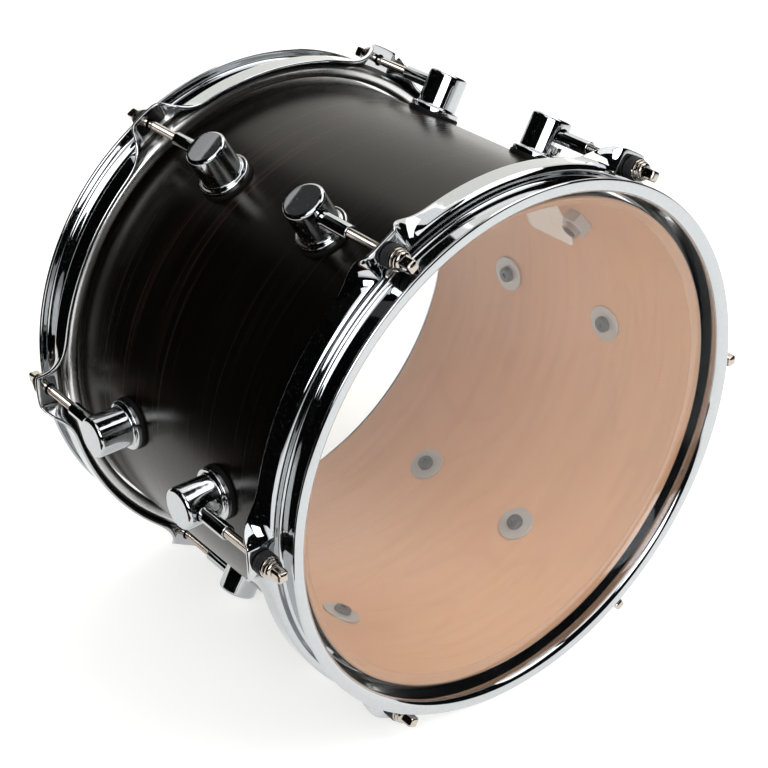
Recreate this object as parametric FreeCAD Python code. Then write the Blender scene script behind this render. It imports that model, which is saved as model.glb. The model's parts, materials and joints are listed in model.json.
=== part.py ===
"""Tom drum with two clear heads, built from its separate pieces and lying on its side.

Millimetres, Z up. The drum's axis runs along Y, the resonant head faces -Y and the batter head +Y.
The origin is on the floor, under the middle of the drum, which rests on the skirts of its two hoops.
Each end is drawn in an end frame: r is the distance from the drum's axis, and u the distance from the
drum's middle along that axis, growing outwards. A row is one line of lugs and rods along the shell.
"""

import FreeCAD
import Part
import math
import os

# Shell
SHELL_OD = 304.0          # outside of the stained ply
SHELL_DEPTH = 242.0       # from bearing edge to bearing edge
SHELL_WALL = 6.5          # all plies together
OUTER_PLY = 0.8           # the dark stained ply alone
EDGE_ROUND = 2.2          # round-over outside the bearing edge
EDGE_FLAT = 0.8           # crest that the film lies on
ROWS = 6                  # lugs and rods at each end

# Head: film, flesh hoop and the resin that locks the film into it
FILM = 0.3                # film thickness
FILM_GAP = 0.1            # film over the bearing edge
COLLAR_SLOPE = 50.0       # degrees that the film's collar falls by
FLESH_CLEARANCE = 1.5     # flesh hoop round the shell
FLESH_WIDTH = 8.5
FLESH_HEIGHT = 8.5
FLESH_WALL = 1.0          # wall of its channel
RESIN_DROP = 1.2          # resin below the channel's mouth
FILM_FOOT = 0.5           # film's edge above the channel's floor

# Hoop: one sheet of steel, pressed and rolled, drawn as rim and flange
HOOP_SHEET = 2.3
EAR_DROP = 9.0            # ears' outer face below the bearing edge
RIM_RISE = 19.7           # top of the rim above the ears' outer face
HOOP_SEAT = 6.0           # wall's inner face inside the flesh hoop's outer face
HOOP_SEAT_GAP = 0.2       # hoop above the flesh hoop
HOOP_FILM_GAP = 0.6       # hoop's wall round the film
WALL_BEND = 3.2           # bend from flange to wall, on the sheet's middle
WALL_FOOT = 1.0           # straight wall that stays with the flange, below the rim
LIP_BEND = 3.2            # bend from wall to lip
SKIRT_BEND = 2.4          # bend from flange to skirt
SKIRT_INSET = 4.5         # skirt's outer face inside the rod circle
SKIRT_DROP = 14.0         # skirt's lower edge below the ears' outer face
EAR_REACH = 8.5           # ear's outer edge beyond its rod
EAR_FLAT = 10.0           # half length of an ear that stays flat
EAR_BLEND = 32.0          # length over which the ear folds down into the skirt
EAR_RUNOUT = 6.0          # plain skirt kept in each ear's sector
EAR_LEAST_FOLD = 1.0      # degrees
EAR_HOLE_DIA = 7.5
EAR_STEPS = 8             # sections in each fold
REST_FLAT = 0.9           # depth of the flat that the skirt lies on

# Tension rods and their washers
ROD_STANDOFF = 18.0       # rod's axis outside the shell
ROD_DIA = 5.5
ROD_LENGTH = 55.0         # below the collar
ROD_POINT = 0.8           # chamfer at the rod's end
ROD_COLLAR_DIA = 11.4
ROD_COLLAR = 4.0          # flange and cone together
ROD_FLANGE = 2.0
ROD_SHOULDER_DIA = 9.6    # cone's small end, under the square
KEY_SQUARE = 6.35
KEY_LENGTH = 8.0
KEY_CHAMFER = 1.4
KEY_CLEARANCE = 1.2       # rim's lip inside the turning key square
STEEL_WASHER_DIA = 12.4
STEEL_WASHER = 1.5
NYLON_WASHER_DIA = 13.4
NYLON_WASHER = 5.6
WASHER_CLEARANCE = 0.3    # washers round the rod

# Lugs: post, swivel receiver, gasket, bolt, washer and set screw
LUG_SPACING = 91.2        # between the two lugs of a row
LUG_RISE = 27.0           # lug's cap above the shell
LUG_DIA = 24.5
LUG_ROUND = 2.7           # rounded edge of the cap
LUG_FLANGE_DIA = 30.5
LUG_FLANGE = 3.2
LUG_FLANGE_ROUND = 1.0
GASKET = 2.0
GASKET_PROUD = 0.6        # gasket beyond the lug's flange
RECEIVER_DIA = 8.5
RECEIVER_REACH = 35.0     # receiver's mouth from the lug's axis
RECEIVER_BEHIND = 5.5     # receiver's inner end past the lug's axis
RECEIVER_CHAMFER = 0.5
RECESS_MARGIN = 0.8       # swivel recess round the receiver
RECESS_DEPTH = 4.0
SET_SCREW_DIA = 4.5
SET_SCREW_LENGTH = 8.0
SET_SCREW_INSET = 1.0     # its slotted end below the lug's side
SET_SCREW_SLOT = 0.9
LUG_BOLT_DIA = 6.0
LUG_BOLT_GRIP = 8.0       # bolt's thread inside the lug
LUG_BOLT_HEAD_DIA = 10.6
LUG_BOLT_HEAD = 3.2
LUG_BOLT_HOLE_ROOM = 0.8  # hole through the shell, on the diameter
LUG_BOLT_SOCKET = 4.0     # hexagon socket, across its corners
LUG_BOLT_SOCKET_DEPTH = 2.0
LUG_WASHER_DIA = 24.0
LUG_WASHER = 1.4

# Air vent: a grommet through the shell and the nut that holds it
VENT_ANGLE = 32.5         # degrees from +X towards +Z
VENT_ALONG = -40.0        # from the drum's middle, along +Y
VENT_BORE_DIA = 8.6
VENT_TUBE_DIA = 11.6
VENT_TUBE_RISE = 11.0     # tube's end above the inner wall
VENT_HOLE_ROOM = 0.6      # hole through the shell, on the diameter
VENT_RING_DIA = 19.0
VENT_RING = 2.2           # ring's height outside the shell
VENT_RING_ROUND = 1.2
VENT_NUT_ACROSS = 19.0    # across its corners
VENT_NUT = 7.0

RUNNING_GAP = 0.05        # radial room of a thread or a plug in its hole
SEAT_GAP = 0.05           # between pieces that are drawn up against each other

# Sizes that follow from those above
SHELL_R = SHELL_OD / 2
SHELL_IN_R = SHELL_R - SHELL_WALL
EDGE_U = SHELL_DEPTH / 2
EDGE_CREST_R = SHELL_R - EDGE_ROUND
EAR_U = EDGE_U - EAR_DROP
RIM_U = EAR_U + RIM_RISE
FLANGE_MID_U = EAR_U - HOOP_SHEET / 2
FLESH_IN_R = SHELL_R + FLESH_CLEARANCE
FLESH_OUT_R = FLESH_IN_R + FLESH_WIDTH
FLESH_TOP_U = EAR_U - HOOP_SHEET - HOOP_SEAT_GAP
FLESH_FLOOR_U = FLESH_TOP_U - FLESH_HEIGHT + FLESH_WALL
HOOP_IN_R = FLESH_OUT_R - HOOP_SEAT
HOOP_WALL_MID_R = HOOP_IN_R + HOOP_SHEET / 2
ROD_R = SHELL_R + ROD_STANDOFF
LIP_R = ROD_R - KEY_SQUARE / math.sqrt(2) - KEY_CLEARANCE
SKIRT_R = ROD_R - SKIRT_INSET
SKIRT_BEND_R = SKIRT_R - HOOP_SHEET / 2 - SKIRT_BEND
RIM_FOOT_U = FLANGE_MID_U + WALL_BEND + WALL_FOOT
FLANGE_SPLIT_R = (HOOP_WALL_MID_R + WALL_BEND + SKIRT_BEND_R) / 2
SKIRT_LENGTH = SKIRT_BEND * math.pi / 2 + SKIRT_DROP - HOOP_SHEET / 2 - SKIRT_BEND
EAR_LENGTH = ROD_R + EAR_REACH - SKIRT_BEND_R
FILM_LEG_R = HOOP_IN_R - HOOP_FILM_GAP - FILM / 2
WASHER_BORE_R = ROD_DIA / 2 + WASHER_CLEARANCE
STEEL_WASHER_U = EAR_U + NYLON_WASHER + 2 * SEAT_GAP
ROD_COLLAR_U = STEEL_WASHER_U + STEEL_WASHER + SEAT_GAP
LUG_U = LUG_SPACING / 2
LUG_BASE_R = SHELL_R + GASKET
LUG_CAP_R = SHELL_R + LUG_RISE
RECEIVER_R = RECEIVER_DIA / 2
RECESS_HALF = RECEIVER_R + RECESS_MARGIN
RECESS_U = LUG_U + LUG_DIA / 2 - RECESS_DEPTH
SET_SCREW_R = (LUG_BASE_R + LUG_FLANGE + ROD_R - RECEIVER_R) / 2
LUG_WASHER_R = math.sqrt(SHELL_IN_R ** 2 - (LUG_WASHER_DIA / 2) ** 2) - SEAT_GAP
LUG_BOLT_HEAD_R = LUG_WASHER_R - LUG_WASHER - SEAT_GAP
VENT_NUT_R = math.sqrt(SHELL_IN_R ** 2 - (VENT_NUT_ACROSS / 2) ** 2) - SEAT_GAP
AXIS_HEIGHT = SKIRT_R - REST_FLAT

CENTRE = FreeCAD.Vector(0, 0, 0)
DRUM_AXIS = FreeCAD.Vector(0, 1, 0)
RADIAL = FreeCAD.Vector(1, 0, 0)
UP = FreeCAD.Vector(0, 0, 1)
ENDS = ("batter", "resonant")


def at(r, u):
    """Point of the end frame in the plane of a row at zero degrees."""
    return FreeCAD.Vector(r, u, 0)


def line(start, finish):
    return Part.LineSegment(start, finish).toShape()


def arc(start, middle, finish):
    return Part.Arc(start, middle, finish).toShape()


def spun(edges, degrees=360.0):
    """Solid made by turning a closed outline about the drum's axis."""
    return Part.Face(Part.Wire(edges)).revolve(CENTRE, DRUM_AXIS, degrees)


def polygon(corners):
    """Edges of a closed outline with straight sides."""
    return [line(at(*a), at(*b)) for a, b in zip(corners, corners[1:] + corners[:1])]


def turned(shape, degrees):
    """Copy of a shape turned about the drum's axis, from +X towards +Z."""
    copy = shape.copy()
    copy.rotate(CENTRE, DRUM_AXIS, -degrees)
    return copy


def placed(shape, end, row_angle=0.0):
    """Copy of an end frame's shape at one end of the drum, turned to its row."""
    copy = turned(shape, row_angle if end == "batter" else 180.0 - row_angle)
    if end == "resonant":
        copy.rotate(CENTRE, UP, 180)
    copy.translate(UP * AXIS_HEIGHT)
    return copy


def row_angles():
    return [360.0 * row / ROWS for row in range(ROWS)]


def every_row(shape, end):
    """The same small piece on every row of one end, as separate solids in one node."""
    return Part.makeCompound([placed(shape, end, angle) for angle in row_angles()])


def rod_cylinder(radius, low_u, high_u, r=None):
    """Cylinder along the drum's axis, on the rod circle unless r says otherwise."""
    base = at(ROD_R if r is None else r, low_u)
    return Part.makeCylinder(radius, high_u - low_u, base, DRUM_AXIS)


def lug_cylinder(radius, low_r, high_r):
    """Cylinder along a lug's own axis."""
    return Part.makeCylinder(radius, high_r - low_r, at(low_r, LUG_U), RADIAL)


def radial_cylinder(diameter, low_r, high_r):
    """Cylinder along the end frame's own +X, where the vent is drawn."""
    return Part.makeCylinder(diameter / 2, high_r - low_r, at(low_r, 0), RADIAL)


def hexagon(r, u, across):
    """Six-sided face across the +X direction, by its size over the corners."""
    corners = []
    for side in range(6):
        angle = math.radians(60 * side)
        arm = FreeCAD.Vector(0, math.cos(angle), math.sin(angle)) * (across / 2)
        corners.append(at(r, u) + arm)
    return Part.Face(Part.makePolygon(corners + corners[:1]))


# Bent sheet

def sheet_side(points, bends, offset):
    """Edges of one face of a bent sheet: its middle line moved sideways, with an arc at each corner."""
    runs = [(b - a).normalize() for a, b in zip(points, points[1:])]
    normals = [FreeCAD.Vector(-run.y, run.x, 0) for run in runs]
    edges = []
    here = points[0] + normals[0] * offset
    for i, bend in enumerate(bends):
        turn = runs[i].cross(runs[i + 1]).z
        side = math.copysign(1.0, turn)
        half_turn = abs(math.atan2(turn, runs[i].dot(runs[i + 1]))) / 2
        radius = bend - side * offset
        reach = radius * math.tan(half_turn)
        mitre = offset / (1 + normals[i].dot(normals[i + 1]))
        corner = points[i + 1] + (normals[i] + normals[i + 1]) * mitre
        start = corner - runs[i] * reach
        finish = corner + runs[i + 1] * reach
        middle_of_bend = start + normals[i] * (side * radius)
        crown = middle_of_bend + (corner - middle_of_bend).normalize() * radius
        edges.append(line(here, start))
        edges.append(arc(start, crown, finish))
        here = finish
    edges.append(line(here, points[-1] + normals[-1] * offset))
    return edges


def bent_sheet(corners, bends, sheet, round_end=False):
    """Edges round a bent sheet's section. corners are (r, u) on its middle, bends the radii there."""
    points = [at(*corner) for corner in corners]
    left = sheet_side(points, bends, sheet / 2)
    right = sheet_side(points, bends, -sheet / 2)
    left_tip = left[-1].Vertexes[-1].Point
    right_tip = right[-1].Vertexes[-1].Point
    if round_end:
        run = (points[-1] - points[-2]).normalize()
        tip = arc(left_tip, points[-1] + run * (sheet / 2), right_tip)
    else:
        tip = line(left_tip, right_tip)
    root = line(right[0].Vertexes[0].Point, left[0].Vertexes[0].Point)
    return left + [tip] + right[::-1] + [root]


# Shell

def shell_plies():
    """The whole shell with its bearing edges, bored for the lugs, as maple core and stained outer ply."""
    crest_in = EDGE_CREST_R - EDGE_FLAT
    cut_u = EDGE_U - (crest_in - SHELL_IN_R)
    shoulder = EDGE_ROUND * math.sqrt(0.5)
    edges = []
    for end in (1, -1):
        crown = at(EDGE_CREST_R + shoulder, end * (EDGE_U - EDGE_ROUND + shoulder))
        round_start = at(SHELL_R, end * (EDGE_U - EDGE_ROUND))
        edges.append(arc(round_start, crown, at(EDGE_CREST_R, end * EDGE_U)))
        edges.append(line(at(EDGE_CREST_R, end * EDGE_U), at(crest_in, end * EDGE_U)))
        edges.append(line(at(crest_in, end * EDGE_U), at(SHELL_IN_R, end * cut_u)))
    edges.append(line(at(SHELL_IN_R, -cut_u), at(SHELL_IN_R, cut_u)))
    edges.append(line(at(SHELL_R, -EDGE_U + EDGE_ROUND), at(SHELL_R, EDGE_U - EDGE_ROUND)))
    whole = spun(Part.__sortEdges__(edges))
    bolt_hole = lug_cylinder((LUG_BOLT_DIA + LUG_BOLT_HOLE_ROOM) / 2, SHELL_IN_R / 2, LUG_CAP_R)
    holes = []
    for angle in row_angles():
        holes.append(turned(bolt_hole, angle))
        holes.append(turned(bolt_hole, angle).mirror(CENTRE, DRUM_AXIS))
    vent_hole = radial_cylinder(VENT_TUBE_DIA + VENT_HOLE_ROOM, SHELL_IN_R / 2, LUG_CAP_R)
    vent_hole = turned(vent_hole, VENT_ANGLE)
    vent_hole.translate(DRUM_AXIS * VENT_ALONG)
    holes.append(vent_hole)
    whole = whole.cut(Part.makeCompound(holes))
    core = Part.makeCylinder(SHELL_R - OUTER_PLY, SHELL_DEPTH, at(0, -EDGE_U), DRUM_AXIS)
    plies = [whole.common(core), whole.cut(core)]
    for ply in plies:
        ply.translate(UP * AXIS_HEIGHT)
    return plies


def vent_placed(shape):
    """Copy of a piece of the vent at its place on the shell."""
    copy = turned(shape, VENT_ANGLE)
    copy.translate(DRUM_AXIS * VENT_ALONG + UP * AXIS_HEIGHT)
    return copy


def vent_grommet():
    """Round-edged ring outside the shell, on a tube through the wall that lets the drum's air out."""
    ring = radial_cylinder(VENT_RING_DIA, SHELL_IN_R, SHELL_R + VENT_RING)
    rim = [edge for edge in ring.Edges if min(v.Point.x for v in edge.Vertexes) > SHELL_R]
    ring = ring.makeFillet(VENT_RING_ROUND, rim)
    shell_face = Part.makeCylinder(SHELL_R + SEAT_GAP, 2 * VENT_RING_DIA, at(0, -VENT_RING_DIA), DRUM_AXIS)
    tube = radial_cylinder(VENT_TUBE_DIA, SHELL_IN_R - VENT_TUBE_RISE, SHELL_R + VENT_RING)
    bore = radial_cylinder(VENT_BORE_DIA, SHELL_IN_R / 2, LUG_CAP_R)
    return ring.cut(shell_face).fuse(tube).removeSplitter().cut(bore)


def vent_nut():
    """Six-sided nut that draws the grommet up from inside the shell."""
    body = hexagon(VENT_NUT_R - VENT_NUT, 0, VENT_NUT_ACROSS).extrude(RADIAL * VENT_NUT)
    return body.cut(radial_cylinder(VENT_TUBE_DIA + 2 * RUNNING_GAP, SHELL_IN_R / 2, LUG_CAP_R))


# Head

def film():
    """Clear film: flat over the bearing edge, then a collar that runs down into the flesh hoop."""
    slope = math.radians(COLLAR_SLOPE)
    film_u = EDGE_U + FILM_GAP + FILM / 2
    edge_bend = EDGE_ROUND + FILM_GAP + FILM / 2
    knee_r = EDGE_CREST_R + edge_bend * math.tan(slope / 2)
    collar_u = film_u - (FILM_LEG_R - knee_r) * math.tan(slope)
    foot_u = FLESH_FLOOR_U + FILM_FOOT
    corners = [(0, film_u), (knee_r, film_u), (FILM_LEG_R, collar_u), (FILM_LEG_R, foot_u)]
    return spun(bent_sheet(corners, [edge_bend, edge_bend], FILM))


def flesh_hoop():
    """Aluminium channel that is open outwards and holds the film's edge."""
    inner = FLESH_IN_R + FLESH_WALL
    outer = FLESH_OUT_R - FLESH_WALL
    low_u = FLESH_FLOOR_U - FLESH_WALL
    return spun(polygon([
        (FLESH_IN_R, low_u), (FLESH_OUT_R, low_u), (FLESH_OUT_R, FLESH_TOP_U), (outer, FLESH_TOP_U),
        (outer, FLESH_FLOOR_U), (inner, FLESH_FLOOR_U), (inner, FLESH_TOP_U), (FLESH_IN_R, FLESH_TOP_U),
    ]))


def resin_ring():
    """Cast resin that locks the film's edge against the channel's outer wall."""
    inner = FILM_LEG_R + FILM / 2 + SEAT_GAP
    outer = FLESH_OUT_R - FLESH_WALL - SEAT_GAP
    low_u = FLESH_FLOOR_U + SEAT_GAP
    high_u = FLESH_TOP_U - RESIN_DROP
    return spun(polygon([(inner, low_u), (outer, low_u), (outer, high_u), (inner, high_u)]))


# Hoop

def skirt_section(fold_degrees, length, root_r):
    """Section of the sheet outside the flange: it folds down by an angle and ends after a length."""
    fold = math.radians(fold_degrees)
    reach = SKIRT_BEND * math.tan(fold / 2)
    free = length - SKIRT_BEND * fold
    corner_r = SKIRT_BEND_R + reach
    tip_r = corner_r + (reach + free) * math.cos(fold)
    tip_u = FLANGE_MID_U - (reach + free) * math.sin(fold)
    corners = [(root_r, FLANGE_MID_U), (corner_r, FLANGE_MID_U), (tip_r, tip_u)]
    return bent_sheet(corners, [SKIRT_BEND], HOOP_SHEET)


def ear_section(offset):
    """Section of the hoop's skirt at a distance along the rod circle from the middle of an ear.

    The fold grows from flat at the ear to a right angle in the skirt, fastest beside the ear, and the
    sheet's length goes over from the ear's to the skirt's in the same way.
    """
    share = min(max((abs(offset) - EAR_FLAT) / EAR_BLEND, 0.0), 1.0)
    blend = 1 - (1 - share) ** 3
    fold = EAR_LEAST_FOLD + (90 - EAR_LEAST_FOLD) * blend
    length = EAR_LENGTH + (SKIRT_LENGTH - EAR_LENGTH) * blend
    root_r = FLANGE_SPLIT_R - HOOP_SHEET
    wire = Part.Wire(skirt_section(fold, length, root_r))
    return turned(wire, math.degrees(offset / ROD_R))


def ear_offsets():
    """Places of the sections through one ear, from its far run-out to its near one."""
    fold_end = EAR_FLAT + EAR_BLEND
    half = [EAR_FLAT / 2, EAR_FLAT]
    half += [EAR_FLAT + EAR_BLEND * ((step + 1) / EAR_STEPS) ** 1.5 for step in range(EAR_STEPS)]
    half.append(fold_end + EAR_RUNOUT)
    return [-offset for offset in half[::-1]] + [0.0] + half


def hoop_rim():
    """Upper part of the steel hoop: its wall and the rolled lip."""
    lip_mid_u = RIM_U - HOOP_SHEET / 2
    return spun(bent_sheet(
        [(HOOP_WALL_MID_R, RIM_FOOT_U + SEAT_GAP), (HOOP_WALL_MID_R, lip_mid_u),
         (LIP_R - HOOP_SHEET / 2, lip_mid_u)],
        [LIP_BEND], HOOP_SHEET, round_end=True))


def hoop_flange():
    """Lower part of the steel hoop: its flange, with ears that fold down into the skirt."""
    ring = spun(bent_sheet(
        [(FLANGE_SPLIT_R, FLANGE_MID_U), (HOOP_WALL_MID_R, FLANGE_MID_U), (HOOP_WALL_MID_R, RIM_FOOT_U)],
        [WALL_BEND], HOOP_SHEET))
    sections = [ear_section(offset) for offset in ear_offsets()]
    inside = Part.makeCylinder(FLANGE_SPLIT_R, SHELL_DEPTH, at(0, 0), DRUM_AXIS)
    ear = Part.makeLoft(sections, True, False).cut(inside)
    ear = ear.cut(rod_cylinder(EAR_HOLE_DIA / 2, EAR_U - RIM_RISE, EAR_U + RIM_RISE))
    half_sector = math.degrees(ear_offsets()[-1] / ROD_R)
    skirt = spun(skirt_section(90, SKIRT_LENGTH, FLANGE_SPLIT_R), 360.0 / ROWS - 2 * half_sector)
    pieces = []
    for angle in row_angles():
        pieces.append(turned(ear, angle))
        pieces.append(turned(skirt, angle - half_sector))
    return ring.fuse(pieces).removeSplitter()


def rested(hoop):
    """A placed hoop with the flat on its skirt that keeps the drum from rolling."""
    below = FreeCAD.Vector(-SKIRT_R, -SHELL_DEPTH, -SKIRT_R)
    return hoop.cut(Part.makeBox(2 * SKIRT_R, 2 * SHELL_DEPTH, SKIRT_R, below))


# Tension rods and washers

def tension_rod():
    """Rod with a flanged collar that tapers to the square that a drum key turns."""
    end_u = ROD_COLLAR_U - ROD_LENGTH
    key_u = ROD_COLLAR_U + ROD_COLLAR
    shank = rod_cylinder(ROD_DIA / 2, end_u + ROD_POINT, key_u)
    point = Part.makeCone(ROD_DIA / 2 - ROD_POINT, ROD_DIA / 2, ROD_POINT, at(ROD_R, end_u), DRUM_AXIS)
    flange_u = ROD_COLLAR_U + ROD_FLANGE
    collar = rod_cylinder(ROD_COLLAR_DIA / 2, ROD_COLLAR_U, flange_u)
    taper = Part.makeCone(
        ROD_COLLAR_DIA / 2, ROD_SHOULDER_DIA / 2, key_u - flange_u, at(ROD_R, flange_u), DRUM_AXIS)
    corner = at(ROD_R - KEY_SQUARE / 2, key_u) - UP * (KEY_SQUARE / 2)
    key = Part.makeBox(KEY_SQUARE, KEY_LENGTH, KEY_SQUARE, corner)
    tip_u = key_u + KEY_LENGTH
    tip_edges = [edge for edge in key.Edges if min(v.Point.y for v in edge.Vertexes) > tip_u - KEY_CHAMFER]
    key = key.makeChamfer(KEY_CHAMFER, tip_edges)
    return shank.fuse([point, collar, taper, key]).removeSplitter()


def washer(diameter, low_u, thickness):
    body = rod_cylinder(diameter / 2, low_u, low_u + thickness)
    return body.cut(rod_cylinder(WASHER_BORE_R, low_u - thickness, low_u + 2 * thickness))


# Lugs

def lug_post():
    """Round cast post on a flange, with a rounded cap and a recess that the receiver swivels in."""
    half_flange = LUG_FLANGE_DIA / 2
    half_post = LUG_DIA / 2
    flange_r = LUG_BASE_R + LUG_FLANGE
    shoulder = math.sqrt(0.5)
    flange_round = min(LUG_FLANGE_ROUND, LUG_FLANGE / 2)
    edge_in = half_flange - flange_round
    cap_in = half_post - LUG_ROUND
    edges = [
        line(at(LUG_BASE_R, 0), at(LUG_BASE_R, half_flange)),
        line(at(LUG_BASE_R, half_flange), at(flange_r - flange_round, half_flange)),
        arc(at(flange_r - flange_round, half_flange),
            at(flange_r - flange_round * (1 - shoulder), edge_in + flange_round * shoulder),
            at(flange_r, edge_in)),
        line(at(flange_r, edge_in), at(flange_r, half_post)),
        line(at(flange_r, half_post), at(LUG_CAP_R - LUG_ROUND, half_post)),
        arc(at(LUG_CAP_R - LUG_ROUND, half_post),
            at(LUG_CAP_R - LUG_ROUND * (1 - shoulder), cap_in + LUG_ROUND * shoulder),
            at(LUG_CAP_R, cap_in)),
        line(at(LUG_CAP_R, cap_in), at(LUG_CAP_R, 0)),
        line(at(LUG_CAP_R, 0), at(LUG_BASE_R, 0)),
    ]
    post = Part.Face(Part.Wire(edges)).revolve(CENTRE, RADIAL, 360)
    post.translate(DRUM_AXIS * LUG_U)
    outside_u = LUG_U + LUG_DIA
    recess_box = Part.makeBox(ROD_R - SET_SCREW_R, outside_u - RECESS_U, 2 * RECESS_HALF,
                              at(SET_SCREW_R, RECESS_U) - UP * RECESS_HALF)
    screw_end_u = LUG_U + half_post - SET_SCREW_INSET - SET_SCREW_LENGTH
    cuts = [
        recess_box,
        rod_cylinder(RECESS_HALF, RECESS_U, outside_u),
        rod_cylinder(SET_SCREW_DIA / 2 + RECESS_MARGIN / 2, RECESS_U, outside_u, SET_SCREW_R),
        rod_cylinder(RECEIVER_R + RUNNING_GAP, LUG_U - RECEIVER_BEHIND - SEAT_GAP, outside_u),
        rod_cylinder(SET_SCREW_DIA / 2 + RUNNING_GAP, screw_end_u - SEAT_GAP, outside_u, SET_SCREW_R),
        lug_cylinder(LUG_BOLT_DIA / 2 + RUNNING_GAP, SHELL_R, LUG_BASE_R + LUG_BOLT_GRIP + SEAT_GAP),
    ]
    return post.cut(cuts)


def receiver():
    """Tapped tube that takes the rod, with a bevelled mouth."""
    low_u = LUG_U - RECEIVER_BEHIND
    mouth_u = LUG_U + RECEIVER_REACH
    body = rod_cylinder(RECEIVER_R, low_u, mouth_u - RECEIVER_CHAMFER)
    mouth = Part.makeCone(RECEIVER_R, RECEIVER_R - RECEIVER_CHAMFER, RECEIVER_CHAMFER,
                          at(ROD_R, mouth_u - RECEIVER_CHAMFER), DRUM_AXIS)
    bore = rod_cylinder(ROD_DIA / 2 + RUNNING_GAP, low_u - RECEIVER_REACH, mouth_u + RECEIVER_REACH)
    return body.fuse(mouth).removeSplitter().cut(bore)


def gasket():
    """Rubber pad under the lug, flat above and shaped to the round shell below."""
    pad = lug_cylinder(LUG_FLANGE_DIA / 2 + GASKET_PROUD, SHELL_IN_R, LUG_BASE_R - SEAT_GAP)
    shell_face = Part.makeCylinder(SHELL_R + SEAT_GAP, SHELL_DEPTH, at(0, 0), DRUM_AXIS)
    bolt_hole = lug_cylinder((LUG_BOLT_DIA + LUG_BOLT_HOLE_ROOM) / 2, SHELL_IN_R, LUG_CAP_R)
    return pad.cut([shell_face, bolt_hole])


def lug_bolt():
    """Bolt from inside the shell into the lug, with a hexagon socket in its head."""
    shank = lug_cylinder(LUG_BOLT_DIA / 2, LUG_BOLT_HEAD_R, LUG_BASE_R + LUG_BOLT_GRIP)
    head_low = LUG_BOLT_HEAD_R - LUG_BOLT_HEAD
    head = lug_cylinder(LUG_BOLT_HEAD_DIA / 2, head_low, LUG_BOLT_HEAD_R)
    socket = hexagon(head_low, LUG_U, LUG_BOLT_SOCKET).extrude(RADIAL * LUG_BOLT_SOCKET_DEPTH)
    return shank.fuse(head).cut(socket)


def lug_washer():
    """Wide washer whose rim bears on the round inside of the shell."""
    body = lug_cylinder(LUG_WASHER_DIA / 2, LUG_WASHER_R - LUG_WASHER, LUG_WASHER_R)
    hole_r = (LUG_BOLT_DIA + LUG_BOLT_HOLE_ROOM) / 2
    return body.cut(lug_cylinder(hole_r, SHELL_IN_R / 2, LUG_CAP_R))


def set_screw():
    """Slotted screw under the receiver that keeps it in the lug."""
    face_u = LUG_U + LUG_DIA / 2 - SET_SCREW_INSET
    body = rod_cylinder(SET_SCREW_DIA / 2, face_u - SET_SCREW_LENGTH, face_u, SET_SCREW_R)
    corner = at(SET_SCREW_R - SET_SCREW_DIA, face_u - SET_SCREW_SLOT) - UP * (SET_SCREW_SLOT / 2)
    slot = Part.makeBox(2 * SET_SCREW_DIA, 2 * SET_SCREW_SLOT, SET_SCREW_SLOT, corner)
    return body.cut(slot)


def drum():
    """Every node of the drum by name."""
    nodes = {}
    nodes["shell_core"], nodes["shell_outer_ply"] = shell_plies()
    nodes["vent_grommet"] = vent_placed(vent_grommet())
    nodes["vent_nut"] = vent_placed(vent_nut())
    single = {
        "film": film(),
        "flesh_hoop": flesh_hoop(),
        "resin_ring": resin_ring(),
        "hoop_rim": hoop_rim(),
    }
    flange = hoop_flange()
    grouped = {
        "nylon_washers": washer(NYLON_WASHER_DIA, EAR_U + SEAT_GAP, NYLON_WASHER),
        "steel_washers": washer(STEEL_WASHER_DIA, STEEL_WASHER_U, STEEL_WASHER),
        "lug_gaskets": gasket(),
        "lug_bolts": lug_bolt(),
    }
    shared = {"lug_washers": lug_washer(), "set_screws": set_screw()}
    repeated = {"rod": tension_rod(), "lug": lug_post(), "receiver": receiver()}
    for end in ENDS:
        for name, shape in single.items():
            nodes[f"{end}_{name}"] = placed(shape, end)
        nodes[f"{end}_hoop"] = rested(placed(flange, end))
        for name, shape in grouped.items():
            nodes[f"{end}_{name}"] = every_row(shape, end)
        for name, shape in repeated.items():
            for row, angle in enumerate(row_angles(), start=1):
                nodes[f"{end}_{name}_{row}"] = placed(shape, end, angle)
    for name, shape in shared.items():
        copies = [placed(shape, end, angle) for end in ENDS for angle in row_angles()]
        nodes[name] = Part.makeCompound(copies)
    return nodes


os.makedirs("parts", exist_ok=True)
for node_name, node_shape in drum().items():
    node_shape.exportStep(f"parts/{node_name}.step")
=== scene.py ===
"""A tom drum with clear heads, lying on its hoops on a white floor.

Metres, Z up. The drum's axis runs along Y. Pieces of one end are drawn in an end frame: x is the distance
from the drum's axis in the plane of a row of lugs, y the distance outwards from the drum's middle, and z
the direction round the drum.
"""
import bpy
import bmesh
import json
import math
import numpy as np
from mathutils import Matrix, Vector


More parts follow.
